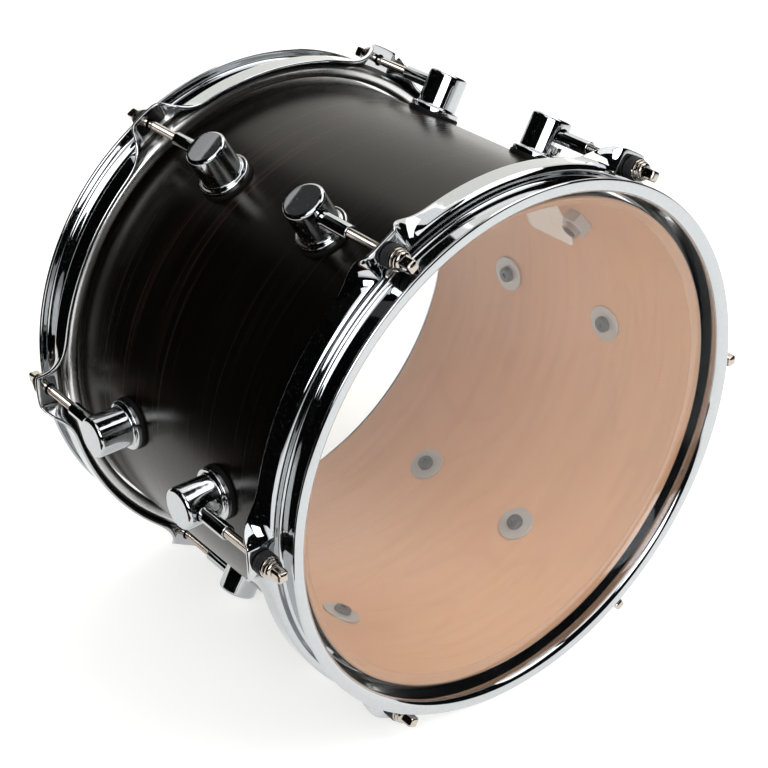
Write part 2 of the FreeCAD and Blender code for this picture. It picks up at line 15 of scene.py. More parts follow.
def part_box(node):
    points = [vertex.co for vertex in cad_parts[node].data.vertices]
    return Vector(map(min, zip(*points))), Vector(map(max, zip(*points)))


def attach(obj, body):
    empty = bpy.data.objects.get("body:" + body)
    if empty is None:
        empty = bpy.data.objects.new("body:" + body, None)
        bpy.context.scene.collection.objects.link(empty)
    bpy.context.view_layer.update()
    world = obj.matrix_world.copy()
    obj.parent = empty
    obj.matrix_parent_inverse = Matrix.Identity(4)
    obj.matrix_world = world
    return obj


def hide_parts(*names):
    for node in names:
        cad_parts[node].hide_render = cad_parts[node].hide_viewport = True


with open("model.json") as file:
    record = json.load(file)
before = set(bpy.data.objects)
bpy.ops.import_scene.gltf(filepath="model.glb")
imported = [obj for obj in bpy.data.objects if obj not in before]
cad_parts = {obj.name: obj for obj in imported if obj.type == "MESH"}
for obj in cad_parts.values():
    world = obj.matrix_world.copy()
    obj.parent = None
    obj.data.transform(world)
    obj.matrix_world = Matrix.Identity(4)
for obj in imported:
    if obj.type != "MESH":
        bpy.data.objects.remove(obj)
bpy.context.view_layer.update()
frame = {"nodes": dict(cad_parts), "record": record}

MM = 0.001
ROWS = range(1, 7)
ROW_STEP = 60  # degrees from one row of lugs to the next
ENDS = {"batter": 1.0, "resonant": -1.0}
GAP = 0.05 * MM  # between pieces that bear on each other
SHARP_ANGLE = math.radians(32)  # edges that turn by more are drawn sharp

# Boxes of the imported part, at the batter end and on the row at +X
FILM_LOW, FILM_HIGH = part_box("batter_film")
ROD_LOW, ROD_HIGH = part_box("batter_rod_1")
LUG_LOW, LUG_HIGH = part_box("batter_lug_1")
RECEIVER_LOW, RECEIVER_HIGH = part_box("batter_receiver_1")
NYLON_LOW, NYLON_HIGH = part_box("batter_nylon_washers")
STEEL_LOW, STEEL_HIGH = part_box("batter_steel_washers")
FLESH_LOW, FLESH_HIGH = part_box("batter_flesh_hoop")
RIM_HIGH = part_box("batter_hoop_rim")[1]
CORE_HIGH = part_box("shell_core")[1]
PLY_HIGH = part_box("shell_outer_ply")[1]
GASKET_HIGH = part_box("batter_lug_gaskets")[1]
BOLT_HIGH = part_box("batter_lug_bolts")[1]
VENT_LOW, VENT_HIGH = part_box("vent_grommet")

# Places of the rods, lugs and vent
AXIS_Z = (FILM_LOW.z + FILM_HIGH.z) / 2
ROD_R = (ROD_LOW.x + ROD_HIGH.x) / 2
LUG_Y = (LUG_LOW.y + LUG_HIGH.y) / 2
VENT_PLACE = (VENT_LOW + VENT_HIGH) / 2
VENT_ANGLE = math.atan2(VENT_PLACE.z - AXIS_Z, VENT_PLACE.x)
VENT_MATRIX = (Matrix.Translation((0, VENT_PLACE.y, 0)) @ Matrix.Rotation(-VENT_ANGLE, 4, "Y")
               @ Matrix.Rotation(math.radians(-90), 4, "Z"))

# The shell's wall and edge, and the washers inside it
SHELL_R = PLY_HIGH.x
CORE_R = CORE_HIGH.x
EDGE_Y = CORE_HIGH.y
EDGE_ROUND = 2.2 * MM
CREST_R = SHELL_R - EDGE_ROUND
WALL_R = SHELL_R - 6.5 * MM
WASHER_R = 12 * MM
WASHER_SEAT = math.sqrt(WALL_R ** 2 - WASHER_R ** 2) - GAP
BOLT_HOLE_R = 3.4 * MM
ROD_HOLE_R = 3.05 * MM

# The hoop's sheet
SHEET = 2.3 * MM
WALL_MID_R = 157.15 * MM
WALL_BEND = 3.2 * MM
LIP_BEND = 3.2 * MM
SKIRT_BEND = 2.4 * MM
EAR_TOP = NYLON_LOW.y - GAP
FLANGE_Y = EAR_TOP - SHEET / 2
SKIRT_BEND_R = 161.95 * MM
SKIRT_MID_R = SKIRT_BEND_R + SKIRT_BEND
SKIRT_LENGTH = 14.22 * MM
EAR_LENGTH = ROD_R + 8.5 * MM - SKIRT_BEND_R
EAR_FLAT = 10.0 * MM
EAR_BLEND = 32.0 * MM


# Meshes

def faces_of_grid(rows, columns, wrap_rows, wrap_columns):
    """Four-sided faces of a grid of points, joined end to end where it wraps."""
    i = np.arange(rows if wrap_rows else rows - 1)
    j = np.arange(columns if wrap_columns else columns - 1)
    i, j = np.meshgrid(i, j, indexing="ij")
    i_next = (i + 1) % rows
    j_next = (j + 1) % columns
    corners = (i * columns + j, i_next * columns + j, i_next * columns + j_next, i * columns + j_next)
    return np.stack(corners, -1).reshape(-1, 4)


def mesh_of(points, faces):
    """Mesh of points and faces, cleaned."""
    mesh = bpy.data.meshes.new("piece")
    mesh.from_pydata(points.reshape(-1, 3).tolist(), [], [list(face) for face in faces])
    return closed(mesh)


def closed(mesh):
    """The mesh with its seams and poles closed, its faces outwards and its edges sharp beyond an angle."""
    work = bmesh.new()
    work.from_mesh(mesh)
    bmesh.ops.remove_doubles(work, verts=work.verts, dist=1e-6)
    bmesh.ops.dissolve_degenerate(work, edges=work.edges, dist=1e-7)
    bmesh.ops.recalc_face_normals(work, faces=work.faces)
    work.to_mesh(mesh)
    work.free()
    mesh.shade_smooth()
    mesh.set_sharp_from_angle(angle=SHARP_ANGLE)
    return mesh


def rounded(corners, radii, steps=6):
    """Closed outline with an arc at each corner, tangent to the two sides that meet there.

    The arc's middle lies on the corner's bisector, at the radius over the sine of half the corner. Points of
    the arc blend its two end directions by the sines of their shares of the sweep.
    """
    corners = np.asarray(corners, float)
    radii = np.broadcast_to(np.asarray(radii, float), len(corners))[:, None]
    back = np.roll(corners, 1, 0) - corners
    ahead = np.roll(corners, -1, 0) - corners
    back /= np.linalg.norm(back, axis=1, keepdims=True)
    ahead /= np.linalg.norm(ahead, axis=1, keepdims=True)
    half = np.arccos(np.clip((back * ahead).sum(1, keepdims=True), -1, 1)) / 2
    middle = back + ahead
    middle = corners + middle / np.linalg.norm(middle, axis=1, keepdims=True) * radii / np.sin(half)
    start = corners + back * radii / np.tan(half) - middle
    finish = corners + ahead * radii / np.tan(half) - middle
    sweep = (np.pi - 2 * half)[:, None]
    share = np.linspace(0, 1, steps)[None, :, None]
    arcs = np.sin((1 - share) * sweep) * start[:, None] + np.sin(share * sweep) * finish[:, None]
    return (middle[:, None] + arcs / np.sin(sweep)).reshape(-1, 2)


def rings(radii, heights, wraps):
    """Stack of rings about Y: each ring's radius may change round it, as (ring, angle), at its own height."""
    radii = np.asarray(radii, float)
    angle = np.linspace(0, 2 * np.pi, radii.shape[1], endpoint=False)
    heights = np.broadcast_to(np.asarray(heights, float).reshape(len(radii), -1), radii.shape)
    points = np.stack([radii * np.cos(angle), heights, radii * np.sin(angle)], -1)
    return points, faces_of_grid(*radii.shape, wraps, True)


def lathe(outline, segments):
    """Outline of (radius, height) turned about Y. It is a ring unless the outline starts on the axis."""
    outline = np.asarray(outline, float)
    radii = np.repeat(outline[:, :1], segments, 1)
    return rings(radii, outline[:, 1], outline[0, 0] > 1e-9)


def about_rod(points):
    """Points about Y, moved onto the rod's line."""
    return points + np.array([ROD_R, 0, 0])


def about_lug(points):
    """Points about Y, laid at the lug so that their height is the distance from the drum's axis."""
    return np.stack([points[..., 1], LUG_Y + points[..., 0], -points[..., 2]], -1)


def prism(outline, low, high):
    """Closed outline of (x, z) drawn out along y."""
    count = len(outline)
    flat = np.zeros((2, count, 3))
    flat[:, :, [0, 2]] = outline
    flat[0, :, 1] = low
    flat[1, :, 1] = high
    sides = faces_of_grid(2, count, False, True).tolist()
    return mesh_of(flat, sides + [list(range(count)), list(range(count, 2 * count))])


def circle(x, z, radius, steps, start=0.0, finish=360.0):
    """Points of a circle, or of its arc between two angles in degrees."""
    angle = np.radians(np.linspace(start, finish, steps, endpoint=finish - start < 360))
    return np.stack([x + radius * np.cos(angle), z + radius * np.sin(angle)], -1)


def without(mesh, *tools):
    """The mesh after the volumes of the tools are taken out of it."""
    body = bpy.data.objects.new("body", mesh)
    bpy.context.scene.collection.objects.link(body)
    cutters = []
    for tool in tools:
        cutter = bpy.data.objects.new("cutter", tool)
        bpy.context.scene.collection.objects.link(cutter)
        cut = body.modifiers.new("cut", "BOOLEAN")
        cut.operation = "DIFFERENCE"
        cut.solver = "EXACT"
        cut.object = cutter
        cutters.append(cutter)
    graph = bpy.context.evaluated_depsgraph_get()
    result = bpy.data.meshes.new_from_object(body.evaluated_get(graph))
    for done in [body] + cutters:
        bpy.data.objects.remove(done)
    result.materials.clear()
    return closed(result)


def row_matrix(end, row):
    """End frame of one row: outwards from the axis, outwards along it, and round it."""
    side = ENDS[end]
    angle = math.radians(ROW_STEP * (row - 1))
    return Matrix(((math.cos(angle), 0, -side * math.sin(angle), 0),
                   (0, side, 0, 0),
                   (math.sin(angle), 0, side * math.cos(angle), AXIS_Z),
                   (0, 0, 0, 1)))


def end_matrix(end):
    """End frame for a whole ring: the resonant end is the batter end turned half round about Z."""
    side = ENDS[end]
    return Matrix.Translation((0, 0, AXIS_Z)) @ Matrix.Diagonal((side, side, 1, 1))


def copy_at(mesh, matrix):
    """Copy of a mesh, moved to a place."""
    copy = mesh.copy()
    copy.transform(matrix)
    return copy


def merged(mesh, matrices):
    """One mesh with a copy at each place."""
    work = bmesh.new()
    for matrix in matrices:
        copy = copy_at(mesh, matrix)
        work.from_mesh(copy)
        bpy.data.meshes.remove(copy)
    result = bpy.data.meshes.new("pieces")
    work.to_mesh(result)
    work.free()
    result.shade_smooth()
    result.set_sharp_from_angle(angle=SHARP_ANGLE)
    return result


def show(name, mesh, material, body, slot, *nodes):
    """Object at the origin that moves with a body, takes the material's finish and stands for CAD nodes. The
    slot is not used.
    """
    mesh.name = name
    mesh.materials.append(material)
    obj = bpy.data.objects.new(name, mesh)
    bpy.context.scene.collection.objects.link(obj)
    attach(obj, body)
    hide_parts(*nodes)
    return obj


# Materials

def opaque(colour, share=1.0):
    """Colour for a shader, darkened to a share of itself."""
    return tuple(share * part for part in colour) + (1.0,)


class Look:
    """Material whose surface is built from textures in the drum's own coordinates."""

    def __init__(self, name):
        self.material = bpy.data.materials.new(name)
        self.material.use_nodes = True
        self.tree = self.material.node_tree
        self.tree.nodes.clear()
        self.output = self.tree.nodes.new("ShaderNodeOutputMaterial")
        self.place = self.tree.nodes.new("ShaderNodeTexCoord").outputs["Object"]

    def node(self, kind, settings=None, **inputs):
        """Shader node. An input is called by its name with _ for a space, or by i and its number."""
        made = self.tree.nodes.new(kind)
        for key, value in (settings or {}).items():
            setattr(made, key, value)
        for key, value in inputs.items():
            socket = made.inputs[int(key[1:]) if key[1:].isdigit() else key.replace("_", " ")]
            if isinstance(value, bpy.types.NodeSocket):
                self.tree.links.new(value, socket)
            else:
                socket.default_value = value
        return made

    def stretched(self, x, y, z):
        """The drum's coordinates with its axis at the origin, scaled apart."""
        return self.node("ShaderNodeMapping", Vector=self.place, Scale=(x, y, z),
                         Location=(0, 0, -AXIS_Z * z)).outputs["Vector"]

    def parts(self):
        """The drum's x, y and z as single values."""
        return self.node("ShaderNodeSeparateXYZ", Vector=self.place).outputs

    def noise(self, place, scale, detail, rough=0.55):
        """Cloudy value between 0 and 1."""
        return self.node("ShaderNodeTexNoise", Vector=place, Scale=scale, Detail=detail,
                         Roughness=rough).outputs["Fac"]

    def ramp(self, value, *stops):
        """Colour that runs through stops of (value, colour)."""
        made = self.node("ShaderNodeValToRGB", Fac=value)
        elements = made.color_ramp.elements
        while len(elements) < len(stops):
            elements.new(0.5)
        for element, (position, colour) in zip(elements, stops):
            element.position = position
            element.color = opaque(colour)
        return made.outputs["Color"]

    def span(self, value, low, high, to_low, to_high):
        """Value moved from one range to another, and held at its ends."""
        return self.node("ShaderNodeMapRange", {"clamp": True}, Value=value, From_Min=low, From_Max=high,
                         To_Min=to_low, To_Max=to_high).outputs["Result"]

    def bump(self, height, strength, distance):
        """Fine relief in the surface's direction."""
        return self.node("ShaderNodeBump", Height=height, Strength=strength,
                         Distance=distance).outputs["Normal"]

    def maths(self, operation, a, b=0.0):
        """One sum on one or two values."""
        return self.node("ShaderNodeMath", {"operation": operation}, i0=a, i1=b).outputs[0]

    def weighed(self, a, share_a, b, share_b):
        """Two values added, each times its share."""
        return self.maths("ADD", self.maths("MULTIPLY", a, share_a), self.maths("MULTIPLY", b, share_b))

    def mixed(self, factor, a, b):
        """Colour a where the factor is 0 and colour b where it is 1."""
        return self.node("ShaderNodeMix", {"data_type": "RGBA"}, i0=factor, i6=a, i7=b).outputs[2]

    def done(self, shader):
        """The material, with its surface set."""
        self.tree.links.new(shader, self.output.inputs["Surface"])
        return self.material

    def surface(self, **inputs):
        """The material, as one plain surface."""
        return self.done(self.node("ShaderNodeBsdfPrincipled", **inputs).outputs["BSDF"])


def stained_ply():
    """Brown-black stain with faint grain round the shell, under satin lacquer."""
    look = Look("stained ply")
    fine = look.noise(look.stretched(5, 420, 5), 1.0, 5.0, 0.6)
    broad = look.noise(look.stretched(4, 26, 4), 1.0, 3.0)
    streak = look.weighed(fine, 0.6, broad, 0.4)
    colour = look.ramp(streak, (0.42, (0.0010, 0.0008, 0.0007)), (0.55, (0.0026, 0.0018, 0.0013)),
                       (0.66, (0.0150, 0.0088, 0.0056)))
    return look.surface(Base_Color=colour, Roughness=look.span(fine, 0.3, 0.7, 0.25, 0.28),
                        Specular_IOR_Level=0.235, Specular_Tint=(1.0, 0.95, 0.84, 1),
                        Normal=look.bump(fine, 0.015, 0.0002))


def maple():
    """Pale maple with faint darker grain lines round the shell. The cut edges take more stain.

    A grain line shows where a slow cloud, times the number of rings, has a fraction just below one.
    """
    look = Look("maple")
    fine = look.noise(look.stretched(7, 150, 7), 1.0, 4.0, 0.55)
    broad = look.noise(look.stretched(5, 12, 5), 1.0, 2.0)
    grain = look.weighed(fine, 0.5, broad, 0.5)
    colour = look.ramp(grain, (0.34, (0.56, 0.312, 0.161)), (0.5, (0.605, 0.341, 0.180)),
                       (0.66, (0.635, 0.364, 0.196)))
    figure = look.noise(look.stretched(4, 15, 4), 1.0, 1.0)
    ring_count = 11.0
    ring = look.maths("FRACT", look.maths("MULTIPLY", figure, ring_count))
    line = look.maths("MULTIPLY", look.span(ring, 0.72, 0.97, 0.0, 1.0), look.span(ring, 0.97, 1.0, 1.0, 0.0))
    line_colour = (0.40, 0.185, 0.095, 1)
    edge_colour = (0.34, 0.175, 0.095, 1)
    colour = look.mixed(look.maths("MULTIPLY", line, 0.12), colour, line_colour)
    height = look.maths("ABSOLUTE", look.parts()["Y"])
    edge = look.span(height, EDGE_Y - 4.4 * MM, EDGE_Y - 3.4 * MM, 0.0, 0.62)
    colour = look.mixed(edge, colour, edge_colour)
    return look.surface(Base_Color=colour, Roughness=look.span(fine, 0.3, 0.7, 0.36, 0.44))


def inside_skirt(look):
    """Mask of painted shade: 1 on the skirt's inner face, nearer the axis than the sheet's middle and below
    the flange, where shade falls. Else 0.
    """
    parts = look.parts()
    up = look.maths("SUBTRACT", parts["Z"], AXIS_Z)
    radius = look.maths("SQRT", look.weighed(parts["X"], parts["X"], up, up))
    height = look.maths("ABSOLUTE", parts["Y"])
    near = look.span(radius, SKIRT_MID_R - 0.1 * MM, SKIRT_MID_R + 0.1 * MM, 1.0, 0.0)
    below = look.span(height, FLANGE_Y - 0.9 * MM, FLANGE_Y - 0.6 * MM, 1.0, 0.0)
    return look.maths("MULTIPLY", near, below)


def plated(name, colour, rough, wave, dust, dust_colour=(0.55, 0.55, 0.54, 1), metal=1.0, painted_shade=None):
    """Plated metal: a slight waviness in the sheet, uneven polish, and scattered specks of dust.

    Where the painted shade mask is one, the metal is painted dark and dull, as shade.
    """
    look = Look(name)
    slow = look.noise(look.place, 60.0, 2.0)
    cloud = look.noise(look.place, 420.0, 5.0, 0.65)
    specks = look.noise(look.place, 1500.0, 2.0, 0.5)
    cover = look.maths("MULTIPLY", look.span(specks, 0.66, 0.72, 0.0, 1.0),
                       look.span(cloud, 0.42, 0.62, 0.0, dust))
    tint = look.mixed(look.span(cloud, 0.3, 0.7, 0.0, 1.0), opaque(colour, 0.93), opaque(colour))
    polish = look.span(cloud, 0.3, 0.75, rough, rough * 2.2)
    polish = look.maths("ADD", polish, look.maths("MULTIPLY", cover, 0.4))
    # Painted shade: the masked place is darkened and dulled to stand in for shade.
    if painted_shade:
        place = painted_shade(look)
        shade_colour = (0.055, 0.052, 0.050, 1)
        tint = look.mixed(place, tint, shade_colour)
        polish = look.maths("ADD", polish, look.maths("MULTIPLY", place, 0.25))
    return look.surface(Base_Color=look.mixed(cover, tint, dust_colour),
                        Metallic=look.span(cover, 0.0, 1.0, metal, 0.1), Roughness=polish,
                        Normal=look.bump(slow, 0.10, wave))


def brushed(name, colour, rough, stretch):
    """Metal with fine lines that run along the axes scaled least."""
    look = Look(name)
    lines = look.noise(look.stretched(*stretch), 1.0, 4.0, 0.6)
    tint = look.mixed(lines, opaque(colour, 0.72), opaque(colour))
    polish = look.span(lines, 0.3, 0.7, rough, rough + 0.14)
    relief = look.bump(lines, 0.08, 0.0001)
    return look.surface(Base_Color=tint, Metallic=1.0, Roughness=polish, Normal=relief)


def dull(name, dark, pale, rough, scale, bump, shine=0.5):
    """Dull moulded or cut surface with fine mottling."""
    look = Look(name)
    grain = look.noise(look.place, scale, 5.0, 0.6)
    return look.surface(Base_Color=look.ramp(grain, (0.35, dark), (0.68, pale)),
                        Roughness=look.span(grain, 0.3, 0.7, rough, rough + 0.15), Specular_IOR_Level=shine,
                        Normal=look.bump(grain, bump, 0.0002))


def clear_film():
    """Clear film: it mirrors at a flat angle, and fine haze whitens it a little everywhere.

    The mirrored share is the face-on share, and the rest of one times the slant's fifth power.
    """
    look = Look("clear film")
    haze = look.noise(look.place, 35.0, 5.0, 0.6)
    veil = look.span(haze, 0.3, 0.7, 0.003, 0.010)
    facing = look.node("ShaderNodeLayerWeight", Blend=0.5).outputs["Facing"]
    face_on = 0.04
    slanted = look.maths("MULTIPLY", look.maths("POWER", facing, 5.0), 1 - face_on)
    mirror = look.maths("ADD", slanted, face_on)
    held = {"operation": "ADD", "use_clamp": True}
    share = look.node("ShaderNodeMath", held, i0=mirror, i1=veil).outputs[0]
    sheen = look.node("ShaderNodeBsdfPrincipled", Base_Color=(0.86, 0.87, 0.88, 1), Roughness=0.05,
                      Specular_IOR_Level=1.0, Metallic=0.75).outputs["BSDF"]
    through = look.node("ShaderNodeBsdfTransparent", Color=(0.985, 0.985, 0.98, 1)).outputs["BSDF"]
    return look.done(look.node("ShaderNodeMixShader", i0=share, i1=through, i2=sheen).outputs[0])


def floor_paint():
    """Matt white with the faintest unevenness."""
    look = Look("floor paint")
    cloud = look.noise(look.place, 1.2, 2.0)
    colour = look.mixed(cloud, (0.50, 0.50, 0.494, 1), (0.52, 0.52, 0.514, 1))
    return look.surface(Base_Color=colour, Roughness=0.9, Specular_IOR_Level=0.1,
                        Emission_Color=(1, 1, 0.985, 1), Emission_Strength=0.66)


STAINED = stained_ply()
MAPLE = maple()
BRIGHT = (0.50, 0.517, 0.532)
GREY_DUST = (0.20, 0.20, 0.21, 1)
CHROME = plated("chrome", BRIGHT, rough=0.03, wave=0.0006, dust=0.25, dust_colour=GREY_DUST)
# The hoop's chrome has painted shade on the skirt's inner face.
HOOP_CHROME = plated("hoop chrome", BRIGHT, rough=0.03, wave=0.0006, dust=0.25, dust_colour=GREY_DUST,
                     painted_shade=inside_skirt)
LUG_CHROME = plated("lug chrome", BRIGHT, rough=0.03, wave=0.0006, dust=0.7,
                    dust_colour=(0.24, 0.25, 0.27, 1))
NICKEL = plated("nickel", (0.50, 0.45, 0.40), rough=0.07, wave=0.0004, dust=0.5,
                dust_colour=(0.10, 0.08, 0.065, 1))
ZINC = plated("zinc plate", (0.51, 0.515, 0.50), rough=0.30, wave=0.0004, dust=0.4, metal=0.45)
DARK_STEEL = plated("dark steel", (0.11, 0.11, 0.118), rough=0.28, wave=0.0004, dust=0.3)
NYLON = dull("black nylon", (0.006, 0.006, 0.0065), (0.018, 0.018, 0.019), rough=0.42, scale=700.0, bump=0.1,
             shine=0.22)
RUBBER = dull("black rubber", (0.002, 0.002, 0.002), (0.005, 0.005, 0.005), rough=0.6, scale=900.0, bump=0.1,
              shine=0.12)
RESIN = dull("cast resin", (0.48, 0.44, 0.35), (0.62, 0.58, 0.48), rough=0.25, scale=160.0, bump=0.05)
PAPER = dull("label paper", (0.76, 0.75, 0.72), (0.85, 0.84, 0.81), rough=0.7, scale=500.0, bump=0.06)
ALUMINIUM = brushed("brushed aluminium", (0.80, 0.80, 0.79), rough=0.22, stretch=(12, 700, 12))
FILM = clear_film()
SLOT_LOOKS = {"maple": MAPLE, "stained_ply": STAINED, "chrome": CHROME, "nickel": NICKEL, "steel": ZINC,
              "dark_steel": DARK_STEEL, "nylon": NYLON, "rubber": RUBBER, "film": FILM,
              "aluminium": ALUMINIUM, "resin": RESIN}


# Hoop

def hoop_places():
    """Angles round the hoop and each one's distance along the rod circle from the nearest ear's middle."""
    side = np.concatenate([np.linspace(1.2, 8, 6), np.linspace(8.7, 20, 18), np.linspace(21.5, 46, 17)]) * MM
    half_sector = math.radians(ROW_STEP / 2) * ROD_R
    far = np.linspace(side[-1], 2 * half_sector - side[-1], 36)[1:-1]
    along = np.concatenate([-side[::-1], [0.0], side, far])
    angle = (np.radians(ROW_STEP) * np.arange(len(ROWS))[:, None] + along / ROD_R).ravel()
    offset = np.tile(np.where(along > half_sector, along - 2 * half_sector, along), len(ROWS))
    return angle, offset


def hoop_section(offset):
    """Loop round the hoop's sheet at each distance from an ear, as (place, point of loop, (radius, height)).

    The middle line runs from the lip inwards, turns left into the wall, left again into the flange and then
    right by the fold, whose angle rises from flat at the ear to a right angle in the skirt, fastest beside
    the ear. The loop is that line moved half the sheet's thickness to its left, and back on its right.
    """
    easing = 1.6 * MM
    ear_fold, skirt_fold = 1, 90
    beyond = np.abs(offset) - EAR_FLAT
    beyond = (beyond + np.sqrt(beyond ** 2 + easing ** 2)) / 2
    blend = 1 - (1 - np.clip(beyond / EAR_BLEND, 0, 1)) ** 3
    fold = np.radians(ear_fold + (skirt_fold - ear_fold) * blend)[:, None]
    length = (EAR_LENGTH + (SKIRT_LENGTH - EAR_LENGTH) * blend)[:, None]
    tip = 0.6 * MM
    lip_mid = RIM_HIGH.y - SHEET / 2
    flat = np.zeros_like(offset)[:, None]

    lip = np.linspace(RIM_HIGH.x - SHEET / 2, WALL_MID_R + LIP_BEND, 4)[:-1] + flat
    lip_turn = np.linspace(np.pi, 1.5 * np.pi, 10) + flat
    wall = np.linspace(lip_mid - LIP_BEND, FLANGE_Y + WALL_BEND, 7)[1:-1] + flat
    wall_turn = np.linspace(1.5 * np.pi, 2 * np.pi, 10) + flat
    flange = np.linspace(WALL_MID_R + WALL_BEND, SKIRT_BEND_R, 4)[1:-1] + flat
    fold_turn = fold * np.linspace(0, 1, 12)
    free = (length - SKIRT_BEND * fold - tip) * np.linspace(0, 1, 10)[1:]

    last = np.broadcast_to(fold, free.shape)
    heading = np.concatenate([np.pi + 0 * lip, lip_turn, 1.5 * np.pi + 0 * wall, wall_turn, 0 * flange,
                              -fold_turn, -last], 1)
    bend_r = SKIRT_BEND_R + SKIRT_BEND * np.sin(fold_turn)
    bend_y = FLANGE_Y - SKIRT_BEND + SKIRT_BEND * np.cos(fold_turn)
    radius = np.concatenate([lip, WALL_MID_R + LIP_BEND + LIP_BEND * np.sin(lip_turn), WALL_MID_R + 0 * wall,
                             WALL_MID_R + WALL_BEND + WALL_BEND * np.sin(wall_turn), flange,
                             bend_r, bend_r[:, -1:] + free * np.cos(fold)], 1)
    height = np.concatenate([lip_mid + 0 * lip, lip_mid - LIP_BEND - LIP_BEND * np.cos(lip_turn), wall,
                             FLANGE_Y + WALL_BEND - WALL_BEND * np.cos(wall_turn), FLANGE_Y + 0 * flange,
                             bend_y, bend_y[:, -1:] - free * np.sin(fold)], 1)
    middle = np.stack([radius, height], -1)
    left = np.stack([-np.sin(heading), np.cos(heading)], -1) * SHEET / 2
    run = np.stack([np.cos(heading), np.sin(heading)], -1)

    turn = np.linspace(0, np.pi, 9)[1:-1, None]
    end_cap = middle[:, -1:] + left[:, -1:] * np.cos(turn) + run[:, -1:] * tip * np.sin(turn)
    lip_cap = middle[:, :1] - left[:, :1] * np.cos(turn) - run[:, :1] * SHEET / 2 * np.sin(turn)
    return np.concatenate([middle + left, end_cap, (middle - left)[:, ::-1], lip_cap], 1)


def hoop_mesh():
    """The hoop of one end: its section carried round the axis, with a hole through each ear."""
    angle, offset = hoop_places()
    section = hoop_section(offset)
    points = np.stack([section[..., 0] * np.cos(angle)[:, None], section[..., 1],
                       section[..., 0] * np.sin(angle)[:, None]], -1)
    points[..., 2] = np.maximum(points[..., 2], -AXIS_Z)
    whole = mesh_of(points, faces_of_grid(*section.shape[:2], True, True))
    hole_r = 3.75 * MM
    hole = prism(circle(ROD_R, 0, hole_r, 40), FLANGE_Y - 6 * MM, EAR_TOP + 6 * MM)
    turns = [Matrix.Rotation(math.radians(ROW_STEP * step), 4, "Y") for step in range(len(ROWS))]
    return without(whole, merged(hole, turns))


# Rods, washers and lugs

def rod_mesh():
    """Tension rod: a helical thread on the shank, a collar, and a square with rounded corners.

    The thread's radius is a wave of the height in turns of the thread less the angle in whole turns. The
    square's radius is half its width over the p-norm of the direction, with a high power p.
    """
    around = np.linspace(0, 2 * np.pi, 40, endpoint=False)
    pitch = 25.4 / 24 * MM
    outer, depth = 2.74 * MM, 0.56 * MM
    thread_top = ROD_HIGH.y - 25.0 * MM
    height = np.arange(ROD_LOW.y + 0.15 * MM, thread_top, pitch / 8)
    wave = np.abs(2 * ((height[:, None] / pitch - around / (2 * np.pi)) % 1) - 1)
    wave = np.clip(wave * 1.25 - 0.1, 0, 1)
    start = np.clip((height - ROD_LOW.y) / (0.8 * MM), 0, 1)
    finish = np.clip((thread_top - height) / (1.5 * MM), 0, 1)
    fade = start * finish
    thread = outer - depth * (1 - wave * fade[:, None])
    thread = thread * (0.72 + 0.28 * start[:, None])

    collar_low = STEEL_HIGH.y + GAP
    key_low = collar_low + 4.0 * MM
    collar = (ROD_HIGH.z - ROD_LOW.z) / 2
    power = 7
    half = 6.35 / 2 * MM
    square = half / (np.abs(np.cos(around)) ** power + np.abs(np.sin(around)) ** power) ** (1 / power)
    plain = np.ones_like(around)
    flange = [(-0.5, 0), (-0.1, 0.1), (0, 0.4), (0, 1.45), (-0.12, 1.8), (-0.5, 2.0), (-0.75, 2.05),
              (-0.78, 2.25), (-0.55, 2.4), (-0.55, 2.9), (-0.75, 3.35), (-1.2, 3.75), (-1.7, 4.0)]
    tip = [(1.10, 0), (1.03, 0.12), (1.0, 0.4), (1.0, 5.4), (0.985, 6.0), (0.94, 6.6), (0.85, 7.1),
           (0.72, 7.5), (0.54, 7.8), (0.3, 7.96), (0, 8.0)]
    upper = [(outer * plain, thread_top + 0.1 * MM), (outer * plain, collar_low)]
    upper += [((collar + out) * plain, collar_low + rise) for out, rise in np.array(flange) * MM]
    upper += [(square * share, key_low + rise) for share, rise in np.array(tip) * [1, MM]]
    end_r = 1.9 * MM
    radii = np.concatenate([[0 * around, end_r * plain], thread, [radius for radius, rise in upper]])
    heights = np.concatenate([[ROD_LOW.y, ROD_LOW.y], height, [rise for radius, rise in upper]])
    points, faces = rings(radii, heights, False)
    return mesh_of(about_rod(points), faces)


def plain_ring(inner, outer, low, high, edge, segments):
    """Plain ring with rounded edges, about Y."""
    return lathe(rounded([(inner, low), (outer, low), (outer, high), (inner, high)], edge), segments)


def nylon_washer_mesh():
    """Black washer with two fine grooves round its edge."""
    inner = ROD_HOLE_R
    outer = NYLON_HIGH.x - ROD_R
    low, high = NYLON_LOW.y, NYLON_HIGH.y
    step = (high - low) / 5
    groove = outer - 0.35 * MM
    outline = [(inner, low), (outer, low), (outer, low + 1.4 * step), (groove, low + 1.6 * step),
               (groove, low + 1.9 * step), (outer, low + 2.1 * step), (outer, high - 2.0 * step),
               (groove, high - 1.8 * step), (groove, high - 1.5 * step), (outer, high - 1.3 * step),
               (outer, high), (inner, high)]
    edge = np.array([0.2, 0.5, 0.06, 0.06, 0.06, 0.06, 0.06, 0.06, 0.06, 0.06, 0.5, 0.2]) * MM
    points, faces = lathe(rounded(outline, edge, 4), 64)
    return mesh_of(about_rod(points), faces)


def steel_washer_mesh():
    """Washer under the rod's collar."""
    points, faces = plain_ring(ROD_HOLE_R, STEEL_HIGH.x - ROD_R, STEEL_LOW.y, STEEL_HIGH.y, 0.3 * MM, 64)
    return mesh_of(about_rod(points), faces)


def receiver_mesh():
    """Tapped tube with a bevelled mouth."""
    inner = 2.8 * MM
    outer = (RECEIVER_HIGH.z - RECEIVER_LOW.z) / 2
    low, high = RECEIVER_LOW.y, RECEIVER_HIGH.y
    points, faces = plain_ring(inner, outer, low, high, np.array([0.2, 0.3, 0.7, 0.35]) * MM, 64)
    return mesh_of(about_rod(points), faces)


